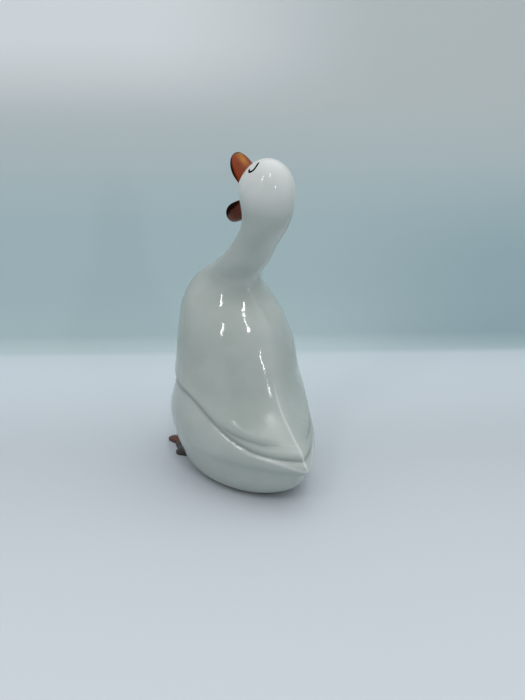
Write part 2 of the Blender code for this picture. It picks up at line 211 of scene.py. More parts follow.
def hollow_sections():
    """The body's sections moved in by the wall, starting on top of the floor."""
    rows = np.array(BODY_SECTIONS[1:])
    breast = offset_outline(rows[:, 0:2], WALL)
    back = offset_outline(rows[:, 2:4], -WALL)
    back[:, 0] -= TAIL_FILL * (rows[:, 5] - 0.5) * 2
    half_width = rows[:, 4:5] - WALL
    breast[0] = breast[0, 0] + FLOOR_CORNER_FILL, FLOOR
    back[0] = back[0, 0] - FLOOR_CORNER_FILL, FLOOR
    half_width[0] -= FLOOR_CORNER_FILL
    body = np.hstack([breast, back, half_width, rows[:, 5:6]])
    return [Section(*row) for row in body] + head_sections(WALL)


def travel(rows):
    """Distance climbed up to each section, averaged between the breast and the back."""
    rows = np.array(rows)
    breast = np.linalg.norm(np.diff(rows[:, 0:2], axis=0), axis=1)
    back = np.linalg.norm(np.diff(rows[:, 2:4], axis=0), axis=1)
    return np.concatenate([[0], np.cumsum((breast + back) / 2)])


def skin_rings(rows, levels, around):
    """Rings of points laid smoothly through the sections. The last ring closes at the crown."""
    climb = travel(rows)
    rows = np.array(rows)
    over = np.concatenate([climb, 2 * climb[-1] - climb[::-1][1:]])
    outline = np.concatenate([rows[:, 0:2], rows[::-1, 2:4][1:]])
    half_widths = np.concatenate([rows[:, 4], -rows[::-1, 4][1:]])[:, None]
    breast = natural_spline(over, outline, levels)
    back = natural_spline(over, outline, 2 * climb[-1] - levels)
    half_width = natural_spline(over, half_widths, levels)
    wedge = natural_spline(climb, rows[:, 5:6], levels)
    turn = np.linspace(0, 2 * math.pi, around, endpoint=False)
    turn = turn + BACK_SHARE * np.sin(turn)
    forward, side = np.cos(turn)[None, :], np.sign(np.sin(turn))[None, :]
    centre = (breast + back) / 2 + (breast - back) * WIDEST_SHIFT * (wedge - 0.5)
    to_breast, to_back = (breast - centre)[:, None], (centre - back)[:, None]
    ends = np.where((forward > 0)[:, :, None], to_breast, to_back)
    middle = centre[:, None] + forward[:, :, None] * ends
    roundness = np.where(forward > 0, 0.5, wedge)
    narrowing = np.clip(1 - forward ** 2, 0, 1)
    x = half_width * narrowing ** roundness * side
    x = x * (narrowing / (narrowing + RIDGE_ROUNDING) + 1e-12) ** (0.5 - roundness)
    return np.dstack([x, middle])


def line_distance(y, z, corner_points):
    """Signed distance in side view to a smooth line. It is positive above the line."""
    corners = np.array(corner_points)
    walk = np.concatenate([[0], np.cumsum(np.linalg.norm(np.diff(corners, axis=0), axis=1))])
    line = natural_spline(walk, corners, np.linspace(0, walk[-1], LINE_STEPS))
    nearest = np.full(y.shape, np.inf)
    signed = np.zeros(y.shape)
    for (y0, z0), (y1, z1) in zip(line[:-1], line[1:]):
        dy, dz = y1 - y0, z1 - z0
        share = np.clip(((y - y0) * dy + (z - z0) * dz) / (dy * dy + dz * dz), 0, 1)
        off_y, off_z = y - y0 - share * dy, z - z0 - share * dz
        distance = np.hypot(off_y, off_z)
        closer = distance < nearest
        nearest = np.where(closer, distance, nearest)
        signed = np.where(closer, distance * np.sign(dy * off_z - dz * off_y), signed)
    return signed


def lip(distance, rise, reach):
    """A rounded lip on the upper side of a line, with a groove along its foot."""
    edge = np.clip(distance / LIP_WIDTH, 0, 1)
    raised = rise * np.sqrt(1 - (1 - edge) ** 2) * np.exp(-np.clip(distance, 0, None) / reach)
    return raised - GROOVE_DEPTH * hump(distance, 0, GROOVE_WIDTH)


def wing_share(z):
    """How much of the wing's relief shows: it sinks into the shoulder."""
    return 1 - smooth_step(z, *WING_TOP_FADE)


def feather_share(y):
    """How much of the feather edge shows: it dies away at both ends."""
    return smooth_step(y, *FEATHER_FADE) * (1 - smooth_step(y, *FEATHER_END))


def relief(y, z):
    """Height of the wing and tail relief over the plain body."""
    wing = lip(line_distance(y, z, WING_EDGE), WING_RISE, WING_REACH)
    feathers = lip(line_distance(y, z, FEATHER_EDGE), FEATHER_RISE, FEATHER_REACH)
    crest = np.hypot(line_distance(y, z, TAIL_CREASE), CREST_ROUNDING) - CREST_ROUNDING
    crease = CREASE_RISE * np.exp(-crest / CREASE_WIDTH)
    return wing * wing_share(z) + feathers * feather_share(y) + crease * smooth_step(y, *CREASE_FADE)


def raise_relief(rings):
    """Push the rings' points out along the skin's normal by the relief."""
    up = np.gradient(rings, axis=0)
    along = np.roll(rings, -1, axis=1) - np.roll(rings, 1, axis=1)
    normal = np.cross(along, up)
    normal /= np.maximum(np.linalg.norm(normal, axis=2), 1e-9)[:, :, None]
    height = relief(rings[:, :, 1], rings[:, :, 2])
    height[:2] = 0
    height[-2:] = 0
    return rings + normal * height[:, :, None]


def lofted(name, rings, glaze, glazes):
    """A closed solid from rings of points: flat at the first ring and drawn to a point at the last."""
    rings = np.asarray(rings)
    count, around = rings.shape[:2]
    points = np.concatenate([rings[:-1].reshape(-1, 3), rings[-1].mean(axis=0)[None]])
    tip = len(points) - 1
    faces = [tuple(range(around))]
    for i in range(around):
        j = (i + 1) % around
        for k in range(count - 2):
            low, high = k * around, (k + 1) * around
            faces.append((low + i, low + j, high + j, high + i))
        last = (count - 2) * around
        faces.append((last + i, last + j, tip))
    mesh = bpy.data.meshes.new(name)
    mesh.from_pydata([tuple(point) for point in points], [], faces)
    builder = bmesh.new()
    builder.from_mesh(mesh)
    bmesh.ops.recalc_face_normals(builder, faces=builder.faces)
    builder.to_mesh(mesh)
    builder.free()
    for slot in glazes:
        mesh.materials.append(slot)
    mesh.polygons.foreach_set("material_index", np.full(len(mesh.polygons), glaze, dtype=np.int32))
    solid = bpy.data.objects.new(name, mesh)
    bpy.context.scene.collection.objects.link(solid)
    return solid


def bill_line(bill):
    """Length and direction of the line from the bill's root to its tip."""
    length = math.hypot(bill.tip_y - bill.root_y, bill.tip_z - bill.root_z)
    return length, (bill.tip_y - bill.root_y) / length, (bill.tip_z - bill.root_z) / length


def bill_taper(bill, share):
    """Width along the bill as a share of its full width: it rounds off towards the tip."""
    beyond = np.clip(share - bill.round_from, 0, None) / (1 - bill.round_from)
    return np.sqrt(np.clip(1 - beyond ** BILL_TIP_POWER, 0, None))


def bill_rings(bill):
    """Rings along one half of the bill, from inside the head to its round tip."""
    length, along_y, along_z = bill_line(bill)
    turn = np.linspace(0, 2 * math.pi, BILL_AROUND, endpoint=False)
    rings = []
    for step in range(BILL_RINGS + 1):
        share = math.sin(step / BILL_RINGS * math.pi / 2)
        taper = bill_taper(bill, share)
        narrowing = BILL_ROOT_NARROWING * max(0.0, 1 - share / BILL_ROOT_LENGTH) ** 2
        half_width = bill.half_width * taper * (1 - narrowing)
        half_height = (bill.root_height + (bill.tip_height - bill.root_height) * share) / 2
        half_height *= taper ** BILL_TIP_THINNING
        x = half_width * np.cos(turn)
        lift = half_height * np.sin(turn) + bill.edge_lift * (x / bill.half_width) ** 2
        y = HEAD_Y + bill.root_y + along_y * length * share + along_z * lift
        z = HEAD_Z + bill.root_z + along_z * length * share - along_y * lift
        rings.append(np.stack([x, y, z], axis=1))
    return rings


def foot_outline(angles):
    """Reach of the foot from its heel: three round toes, the web between them and the heel."""
    toe_angles = np.radians(TOE_ANGLES)
    reach = np.full(angles.shape, HEEL_RADIUS)
    for toe_angle, length in zip(toe_angles, TOE_LENGTHS):
        off = np.abs(angles - toe_angle)
        centre = length - TOE_RADIUS
        sideways = centre * np.sin(off)
        round_tip = centre * np.cos(off) + np.sqrt(np.clip(TOE_RADIUS ** 2 - sideways ** 2, 0, None))
        straight_side = TOE_RADIUS / np.maximum(np.sin(off), 1e-6)
        toe = np.where(sideways < TOE_RADIUS, round_tip, straight_side)
        reach = np.where(off < math.pi / 2, np.maximum(reach, toe), reach)
    web = WEB_SHARE * np.interp(angles, toe_angles, TOE_LENGTHS)
    inside = (angles > toe_angles[0]) & (angles < toe_angles[-1])
    return np.where(inside, np.maximum(reach, web), reach)


def foot_rings(side):
    """Rings over the foot, from its outline up to its middle. Toes stand higher than the web."""
    spread_start = math.radians(TOE_ANGLES[0] - TOE_MARGINS[0])
    spread_end = math.radians(TOE_ANGLES[-1] + TOE_MARGINS[1])
    toes = int(FOOT_AROUND * TOE_POINTS_SHARE)
    angles = np.concatenate([np.linspace(spread_start, spread_end, toes, endpoint=False),
                             np.linspace(spread_end, spread_start + 2 * math.pi, FOOT_AROUND - toes,
                                         endpoint=False)])
    wrapped = np.where(angles > math.pi, angles - 2 * math.pi, angles)
    reach = foot_outline(wrapped)
    to_toe = np.min([np.abs(np.sin(wrapped - math.radians(toe))) for toe in TOE_ANGLES], axis=0)
    rings = []
    for share in FOOT_RING_SHARES:
        height = WEB_HEIGHT + (TOE_HEIGHT - WEB_HEIGHT) * np.exp(-(to_toe * reach * share / TOE_RADIUS) ** 2)
        rounding = math.sqrt(1 - share ** FOOT_ROUNDNESS) if rings else 0.0
        low = FOOT_EDGE_SHARE if len(rings) == 1 else 0.0
        z = FOOT_LIFT + height * max(rounding, low)
        x = side * (HEEL_X + reach * share * np.sin(wrapped))
        y = HEEL_Y - reach * share * np.cos(wrapped)
        rings.append(np.stack([x, y, z], axis=1))
    rings.append(np.tile([side * HEEL_X, HEEL_Y, FOOT_LIFT + TOE_HEIGHT], (FOOT_AROUND, 1)))
    return rings


def vent_rings():
    """Rings of the round cut through the floor."""
    turn = np.linspace(0, 2 * math.pi, VENT_AROUND, endpoint=False)
    circle = np.stack([np.cos(turn), np.sin(turn)], axis=1)
    top = FLOOR * VENT_TOP
    return [np.column_stack([VENT_RADIUS * share * circle + (0, VENT_Y), np.full(VENT_AROUND, height)])
            for share, height in ((1, -FLOOR), (1, top), (VENT_INNER_SHARE, top), (0, top))]


def build_duck(glazes):
    """The hollow casting with its bill and feet, joined into one mesh."""
    rows = list(BODY_SECTIONS) + head_sections(0.0)
    climb = travel(rows)
    levels = np.concatenate([np.linspace(0, climb[RELIEF_SECTIONS], RINGS_RELIEF, endpoint=False),
                             np.linspace(climb[RELIEF_SECTIONS], climb[-1], RINGS_ABOVE)])
    duck = lofted("glazed_duck", raise_relief(skin_rings(rows, levels, AROUND)), WHITE, glazes)
    hollow_rows = hollow_sections()
    hollow_levels = np.linspace(0, travel(hollow_rows)[-1], HOLLOW_RINGS)
    changes = (("upper_bill", bill_rings(UPPER_BILL), BROWN, "UNION"),
               ("lower_bill", bill_rings(LOWER_BILL), BROWN, "UNION"),
               ("left_foot", foot_rings(1), BROWN, "UNION"),
               ("right_foot", foot_rings(-1), BROWN, "UNION"),
               ("hollow", skin_rings(hollow_rows, hollow_levels, HOLLOW_AROUND), CLAY, "DIFFERENCE"),
               ("vent", vent_rings(), CLAY, "DIFFERENCE"))
    tools = []
    for name, rings, glaze, operation in changes:
        tool = lofted(name, rings, glaze, glazes)
        change = duck.modifiers.new(name, "BOOLEAN")
        change.operation = operation
        change.solver = "EXACT"
        change.object = tool
        tools.append(tool)
    graph = bpy.context.evaluated_depsgraph_get()
    mesh = bpy.data.meshes.new_from_object(duck.evaluated_get(graph))
    duck.modifiers.clear()
    duck.data = mesh
    for tool in tools:
        bpy.data.objects.remove(tool, do_unlink=True)
    mesh.shade_smooth()
    mesh.set_sharp_from_angle(angle=math.radians(SHARP_ANGLE))
    return duck


# Glaze, clay and paint colours, linear RGB
GLAZE_THIN = (0.455, 0.500, 0.470)
GLAZE_THICK = (0.390, 0.440, 0.410)
# Darker glaze for the grooves, where the glaze pools and painted shade darkens it further, and for the
# specks
GLAZE_DARK = (0.245, 0.290, 0.272)
# Pale colour for the painted highlight along the crests, where the glaze also runs thin, and for the painted
# sheen on the head
GLAZE_HIGHLIGHT = (0.700, 0.722, 0.700)
# Painted contact shadow at the foot of the glaze
GLAZE_CONTACT_SHADOW = (0.018, 0.020, 0.019)
CLAY_DARK, CLAY_PALE = (0.520, 0.370, 0.300), (0.600, 0.450, 0.370)
BILL_GOLD = (0.420, 0.160, 0.012)
BILL_RED = (0.250, 0.046, 0.012)
BILL_DARK = (0.016, 0.005, 0.004)
FEET_RED = (0.170, 0.042, 0.018)
FEET_DARK = (0.024, 0.009, 0.007)
EYE_BLACK, EYE_WORN = (0.0015, 0.0015, 0.0020), (0.006, 0.005, 0.005)

# Uneven patches: a noise texture and the range of it that runs from one colour to the other
Patches = namedtuple("Patches", "scale detail roughness low high")
GLAZE_CLOUDS = Patches(26.0, 3.0, 0.5, 0.30, 0.70)
GLAZE_SPECKS = Patches(900.0, 1.0, 0.5, 0.765, 0.80)
BARE_PATCHES = Patches(70.0, 2.0, 0.5, 0.35, 0.75)
BROWN_STREAKS = Patches(330.0, 3.0, 0.6, 0.30, 0.72)
CLAY_CLOUDS = Patches(120.0, 4.0, 0.6, 0.25, 0.75)
EYE_WEAR = Patches(700.0, 2.0, 0.5, 0.35, 0.75)
PAPER_CLOUDS = Patches(2.2, 2.0, 0.5, 0.30, 0.70)

# Unevenness too fine for the mesh: a noise texture and its height in metres
Ripples = namedtuple("Ripples", "scale detail roughness strength height")
GLAZE_SWELL = Ripples(95.0, 2.0, 0.45, 1.0, 0.00022)
GLAZE_RIPPLE = Ripples(420.0, 2.0, 0.5, 1.0, 0.00003)
BROWN_SWELL = Ripples(300.0, 2.0, 0.5, 1.0, 0.00012)
CLAY_GRAIN = Ripples(1600.0, 3.0, 0.6, 0.6, 0.00008)

# White glaze
GLAZE_IOR = 1.52
GLAZE_ROUGHNESS, BARE_ROUGHNESS, CLAY_ROUGHNESS = 0.07, 0.75, 0.85
# Shares of the painted shade in the grooves, where the glaze also pools, of the painted highlight on the
# crests, where it also runs thin, and of the specks
POOL_AND_SHADE_SHARE, CREST_AND_HIGHLIGHT_SHARE, SPECK_SHARE = 0.75, 0.55, 0.35
HEAD_SHEEN_SHARE = 0.75                 # how much of the painted highlight colour the head takes as a painted sheen
HEAD_SHEEN_FADE = (0.184, 0.202)        # heights over which the painted sheen comes in from the neck up to the head
MOUTH_EDGE = 0.03                 # softness of the edge of the mouth's colour
LIP_DULLNESS = 0.60               # the glaze is less glossy where it runs thin over the lips
CONTACT_SHADOW_FADE = (0.0020, 0.0009)   # heights over which the glaze is darkened by a painted contact shadow
BARE_FADE = (0.00040, 0.00010)    # and over which it gives way to bare clay
BARE_RISE = 0.0018                # how far up the bare clay reaches in patches

# Brown glaze
STREAK_STRETCH = (1.0, 0.35, 0.35)
STREAK_SHARE = 0.25
FEET_FADE = (0.05, 0.10)          # heights between the feet and the bill
FEET_SHINE, BILL_SHINE = 0.60, 0.10

# Eye paint
EYE_ROUGHNESS, EYE_SHINE = 0.25, 0.04

# Fields for the glaze: the middle and width of a hump across each line
WING_GROOVE, FEATHER_GROOVE = (0.0002, 0.0015), (0.0002, 0.0011)
WING_LIP, FEATHER_LIP = (0.0026, 0.0034), (0.0024, 0.0030)
# The crest humps carry a painted highlight along the tail's crease and the back's ridge, where the glaze
# also runs thin
CREASE_CREST, RIDGE_CREST = (0.0, 0.0009), (0.0, 0.0007)
RIDGE_START, RIDGE_END, RIDGE_FOOT = (0.036, 0.050), (0.070, 0.082), 0.026
TAIL_DULLNESS = 0.8               # share of the lips' dullness on top of the tail
TAIL_START, TAIL_EDGE, TAIL_TOP = (0.036, 0.066), (-0.001, 0.004), 0.09

# Mouth: a painted oval on the front of the head. Its angles are in degrees above straight ahead.
MOUTH_HALF_WIDTH = 0.0082
MOUTH_MIDDLE, MOUTH_HALF_ANGLE, MOUTH_REACH = 3, 27, 40
MOUTH_LOWEST = 0.15

# Colour along the bill, in shares of its length and width
BILL_SKIN = 0.009                 # the bill's skin lies nearer to its middle line than this
BILL_START = 0.1
NARROWEST = 0.01                  # share of the width that is left at the very tip
RIM_SIDES, RIM_TIP, RIM_SHARE = (0.84, 0.97), (0.92, 0.99), 0.9
# The golden stripe down the bill's middle is partly a painted highlight, where the glaze also runs thin
STRIPE, STRIPE_START, STRIPE_END = (0.0, 0.0022), (0.45, 0.75), (0.92, 1.0)
# Stripe gold and painted shade for each half: the lower bill, which faces down, is darkened all over as
# painted shade
UPPER_GOLD, UPPER_SHADE = 1.0, 0.0
LOWER_GOLD, LOWER_SHADE = 0.15, 0.45

# Dark outer toes, in degrees outward, and dark undersides of the feet
OUTER_TOE, OUTER_TOE_SHARE = (24, 34), 0.85
SOLE_FADE, SOLE_SHARE = (0.0042, 0.0012), 0.6
FOOT_REACH = 0.08

BASE_FLATNESS, BASE_HEIGHT = -0.9, 0.0002     # the unglazed underside faces down and lies this low


def add(tree, kind, inputs, **settings):
    """Add a node. Inputs are numbers, colours or the sockets that feed them."""
    item = tree.nodes.new(kind)
    for name, value in settings.items():
        setattr(item, name, value)
    for name, value in inputs.items():
        if isinstance(value, bpy.types.NodeSocket):
            tree.links.new(value, item.inputs[name])
        else:
            item.inputs[name].default_value = value
    return item


def new_material(name):
    """A new material, its node tree, its shader and the place on the object in metres."""
    material = bpy.data.materials.new(name)
    material.use_nodes = True
    tree = material.node_tree
    place = add(tree, "ShaderNodeTexCoord", {}).outputs["Object"]
    return material, tree, tree.nodes["Principled BSDF"], place


def noise(tree, place, grain):
    """The noise that uneven patches and fine ripples are made of."""
    inputs = {"Vector": place, "Scale": grain.scale, "Detail": grain.detail, "Roughness": grain.roughness}
    return add(tree, "ShaderNodeTexNoise", inputs).outputs["Fac"]


def ramp(tree, value, low, high):
    """A share that runs smoothly from 0 at low to 1 at high."""
    inputs = {"Value": value, "From Min": low, "From Max": high}
    return add(tree, "ShaderNodeMapRange", inputs, interpolation_type="SMOOTHSTEP").outputs["Result"]


def patches(tree, place, grain):
    """A share that wanders between 0 and 1 in soft patches."""
    return ramp(tree, noise(tree, place, grain), grain.low, grain.high)


def ripples(tree, place, grain, **under):
    """A normal for fine unevenness. It can lie on top of another normal."""
    inputs = {"Height": noise(tree, place, grain), "Strength": grain.strength, "Distance": grain.height}
    return add(tree, "ShaderNodeBump", {**inputs, **under}).outputs["Normal"]


def calculate(tree, operation, first, second=0.0):
    return add(tree, "ShaderNodeMath", {0: first, 1: second}, operation=operation).outputs[0]


def scaled(tree, value, factor):
    """A value times a number or another value."""
    return calculate(tree, "MULTIPLY", value, factor)


def blend(tree, share, first, second):
    """A colour that runs from the first at share 0 to the second at share 1."""
    first, second = (value if isinstance(value, bpy.types.NodeSocket) else (*value, 1.0)
                     for value in (first, second))
    return add(tree, "ShaderNodeMix", {0: share, 6: first, 7: second}, data_type="RGBA").outputs[2]


def field(tree, name):
    """One of the fields that the duck's mesh carries."""
    return add(tree, "ShaderNodeAttribute", {}, attribute_name=name).outputs["Fac"]


def height_of(tree, place):
    return add(tree, "ShaderNodeSeparateXYZ", {0: place}).outputs["Z"]


def reach_along(tree, place, line):
    """How far a place lies along a unit vector."""
    inputs = {0: place, 1: tuple(line)}
    return add(tree, "ShaderNodeVectorMath", inputs, operation="DOT_PRODUCT").outputs["Value"]


def white_glaze():
    """Greyish white glaze that lies thicker and greener in grooves, with painted shade there too, and
    thinner on crests, with a painted highlight there too. A painted sheen lightens the head, and a painted
    contact shadow darkens the glaze near the floor.
    """
    material, tree, shader, place = new_material("white_glaze")
    height = height_of(tree, place)
    mouth = field(tree, "mouth")
    colour = blend(tree, patches(tree, place, GLAZE_CLOUDS), GLAZE_THIN, GLAZE_THICK)
    # painted shade in the grooves, where the glaze also pools thicker and greener
    colour = blend(tree, scaled(tree, field(tree, "groove"), POOL_AND_SHADE_SHARE), colour, GLAZE_DARK)
    # painted highlight along the crests, where the glaze also runs thinner
    colour = blend(tree, scaled(tree, field(tree, "crest"), CREST_AND_HIGHLIGHT_SHARE), colour, GLAZE_HIGHLIGHT)
    colour = blend(tree, scaled(tree, patches(tree, place, GLAZE_SPECKS), SPECK_SHARE), colour, GLAZE_DARK)
    colour = blend(tree, ramp(tree, mouth, -MOUTH_EDGE, MOUTH_EDGE), colour, BILL_RED)
    # Painted sheen: the head is painted paler, standing in for the light and reflections on its top
    outside_mouth = ramp(tree, mouth, MOUTH_EDGE, -MOUTH_EDGE)
    head = scaled(tree, ramp(tree, height, *HEAD_SHEEN_FADE), outside_mouth)
    colour = blend(tree, scaled(tree, head, HEAD_SHEEN_SHARE), colour, GLAZE_HIGHLIGHT)
    # painted contact shadow: the glaze darkens towards the floor
    colour = blend(tree, ramp(tree, height, *CONTACT_SHADOW_FADE), colour, GLAZE_CONTACT_SHADOW)
    rise = scaled(tree, patches(tree, place, BARE_PATCHES), BARE_RISE)
    bare = ramp(tree, calculate(tree, "SUBTRACT", height, rise), *BARE_FADE)
    colour = blend(tree, bare, colour, CLAY_DARK)
    tree.links.new(colour, shader.inputs["Base Color"])
    dull = calculate(tree, "MAXIMUM", bare, scaled(tree, field(tree, "lip"), LIP_DULLNESS))
    roughness = add(tree, "ShaderNodeMapRange", {"Value": dull, "To Min": GLAZE_ROUGHNESS,
                                                 "To Max": BARE_ROUGHNESS}).outputs["Result"]
    tree.links.new(roughness, shader.inputs["Roughness"])
    shader.inputs["IOR"].default_value = GLAZE_IOR
    swell = ripples(tree, place, GLAZE_SWELL)
    tree.links.new(ripples(tree, place, GLAZE_RIPPLE, Normal=swell), shader.inputs["Normal"])
    return material


def brown_glaze():
    """Treacle brown glaze on the bill and feet. The bill has a golden stripe down its middle, where the
    glaze runs thin, that is partly a painted highlight. The bill is nearly black along its rim and tip, and
    the lower bill is darkened all over as painted shade.
    """
    material, tree, shader, place = new_material("brown_glaze")
    stretched = add(tree, "ShaderNodeMapping", {"Vector": place, "Scale": STREAK_STRETCH}).outputs["Vector"]
    streaks = patches(tree, stretched, BROWN_STREAKS)
    height = height_of(tree, place)
    dark = field(tree, "bill_dark")
    # golden stripe, partly a painted highlight along the bill's middle
    bill = blend(tree, field(tree, "bill_gold"), BILL_RED, BILL_GOLD)
    # dark rim, and painted shade over the whole lower bill
    bill = blend(tree, calculate(tree, "ADD", dark, scaled(tree, streaks, STREAK_SHARE)), bill, BILL_DARK)
    foot = blend(tree, streaks, FEET_RED, FEET_DARK)
    foot = blend(tree, field(tree, "foot_dark"), foot, FEET_DARK)
    tree.links.new(blend(tree, ramp(tree, height, *FEET_FADE), foot, bill), shader.inputs["Base Color"])
    shader.inputs["Roughness"].default_value = GLAZE_ROUGHNESS
    shine = add(tree, "ShaderNodeMapRange", {"Value": height, "From Min": FEET_FADE[0],
                                             "From Max": FEET_FADE[1], "To Min": FEET_SHINE,
                                             "To Max": BILL_SHINE}).outputs["Result"]
    shine = scaled(tree, shine, calculate(tree, "SUBTRACT", 1.0, dark))
    tree.links.new(shine, shader.inputs["Specular IOR Level"])
    tree.links.new(ripples(tree, place, BROWN_SWELL), shader.inputs["Normal"])
    return material


def bare_clay():
    """Unglazed biscuit-coloured clay under the base and inside the casting."""
    material, tree, shader, place = new_material("bare_clay")
    colour = blend(tree, patches(tree, place, CLAY_CLOUDS), CLAY_DARK, CLAY_PALE)
    tree.links.new(colour, shader.inputs["Base Color"])
    shader.inputs["Roughness"].default_value = CLAY_ROUGHNESS
    tree.links.new(ripples(tree, place, CLAY_GRAIN), shader.inputs["Normal"])
    return material


def eye_black():
    """Black paint, a little worn in places."""
    material, tree, shader, place = new_material("eye_black")
    colour = blend(tree, patches(tree, place, EYE_WEAR), EYE_BLACK, EYE_WORN)
    tree.links.new(colour, shader.inputs["Base Color"])
    shader.inputs["Roughness"].default_value = EYE_ROUGHNESS
    shader.inputs["Specular IOR Level"].default_value = EYE_SHINE
    return material


def edge_fields(x, y, z):
    """Grooves, lips and crests of the wings and tail. The grooves carry pooled glaze and painted shade, and
    the crests carry thin glaze and a painted highlight.
    """
    wing = line_distance(y, z, WING_EDGE)
    feathers = line_distance(y, z, FEATHER_EDGE)
    crease = line_distance(y, z, TAIL_CREASE)
    groove = np.maximum(hump(wing, *WING_GROOVE) * wing_share(z),
                        hump(feathers, *FEATHER_GROOVE) * feather_share(y))
    lips = np.maximum(hump(wing, *WING_LIP) * wing_share(z),
                      hump(feathers, *FEATHER_LIP) * feather_share(y))
    tail = smooth_step(y, *TAIL_START) * smooth_step(feathers, *TAIL_EDGE) * (z < TAIL_TOP)
    ridge = hump(x, *RIDGE_CREST) * smooth_step(y, *RIDGE_START) * (1 - smooth_step(z, *RIDGE_END))
    crest = np.maximum(hump(crease, *CREASE_CREST) * smooth_step(y, *CREASE_FADE), ridge * (z > RIDGE_FOOT))
    return {"groove": groove, "lip": np.maximum(lips, TAIL_DULLNESS * tail), "crest": crest}


def mouth_field(x, y, z):
    """Above 0 inside the oval of the mouth, below 0 outside it and -1 far from it."""
    angle = np.degrees(np.arctan2(z - HEAD_Z, HEAD_Y - y))
    oval = 1 - (x / MOUTH_HALF_WIDTH) ** 2 - ((angle - MOUTH_MIDDLE) / MOUTH_HALF_ANGLE) ** 2
    near = (np.abs(angle) < MOUTH_REACH) & (z > MOUTH_LOWEST)
    return np.where(near, np.clip(oval, -1, 1), -1)


def bill_fields(x, y, z):
    """Golden stripe and dark rim of both halves of the bill, with painted shade over the whole lower half.
    """
    gold, dark = np.zeros(x.shape), np.zeros(x.shape)
    for bill, golden, shade in ((UPPER_BILL, UPPER_GOLD, UPPER_SHADE), (LOWER_BILL, LOWER_GOLD, LOWER_SHADE)):
        length, along_y, along_z = bill_line(bill)
        from_y, from_z = y - HEAD_Y - bill.root_y, z - HEAD_Z - bill.root_z
        share = (from_y * along_y + from_z * along_z) / length
        off = np.abs(from_z * along_y - from_y * along_z)
        here = (off < BILL_SKIN) & (share > BILL_START)
        across = np.abs(x) / (bill.half_width * np.maximum(bill_taper(bill, share), NARROWEST))
        rim = np.clip(smooth_step(across, *RIM_SIDES) + smooth_step(share, *RIM_TIP), 0, 1)
        stripe = smooth_step(share, *STRIPE_START) * (1 - smooth_step(share, *STRIPE_END))
        gold = np.where(here, hump(x, *STRIPE) * stripe * golden, gold)
        dark = np.where(here, rim * RIM_SHARE + shade, dark)
    return {"bill_gold": gold, "bill_dark": np.clip(dark, 0, 1)}


def foot_field(x, y, z):
    """Dark outer toes and soles."""
    side, ahead = np.abs(x) - HEEL_X, HEEL_Y - y
    outer_toe = smooth_step(np.degrees(np.arctan2(side, ahead)), *OUTER_TOE)
    sole = smooth_step(z, *SOLE_FADE)
    dark = OUTER_TOE_SHARE * outer_toe + SOLE_SHARE * sole
    return np.clip(dark, 0, 1) * (np.hypot(side, ahead) < FOOT_REACH)


def add_fields(duck):
    """Write the fields that the glazes read into the duck's mesh."""
    mesh = duck.data
    points = np.empty(len(mesh.vertices) * 3)
    mesh.vertices.foreach_get("co", points)
    x, y, z = points.reshape(-1, 3).T
    values = {**edge_fields(x, y, z), "mouth": mouth_field(x, y, z), **bill_fields(x, y, z),
              "foot_dark": foot_field(x, y, z)}
    for name, value in values.items():
        layer = mesh.attributes.new(name, "FLOAT", "POINT")
        layer.data.foreach_set("value", value.astype(np.float32))


def leave_base_bare(duck):
    """The flat underside is left unglazed."""
    for face in duck.data.polygons:
        flat_and_low = face.normal.z < BASE_FLATNESS and face.center.z < BASE_HEIGHT
        if flat_and_low and face.material_index == WHITE:
            face.material_index = CLAY


# Eye: one brush stroke on each side of the head, from its short front end round to its long tail.
EYE_STROKE = ((0.0119, 0.0331, 0.2126), (0.0127, 0.0357, 0.2107), (0.0118, 0.0376, 0.2118),
              (0.0098, 0.0378, 0.2143), (0.0073, 0.0367, 0.2164))
EYE_WIDTH = 0.0016
EYE_SWELL = 0.10                  # the stroke is this share wider in its middle
EYE_START, EYE_END = 0.07, 0.90   # shares of its length where its round ends start
EYE_NARROWEST = 0.05
EYE_LAYER = 0.00006               # thickness of the painted line over the glaze
EYE_LIFT, EYE_SINK = 0.00001, 0.00004     # its edges are sunk into the glaze
EYE_STEPS, EYE_HALF_STEPS = 60, 3         # steps along it, and from its middle to each edge


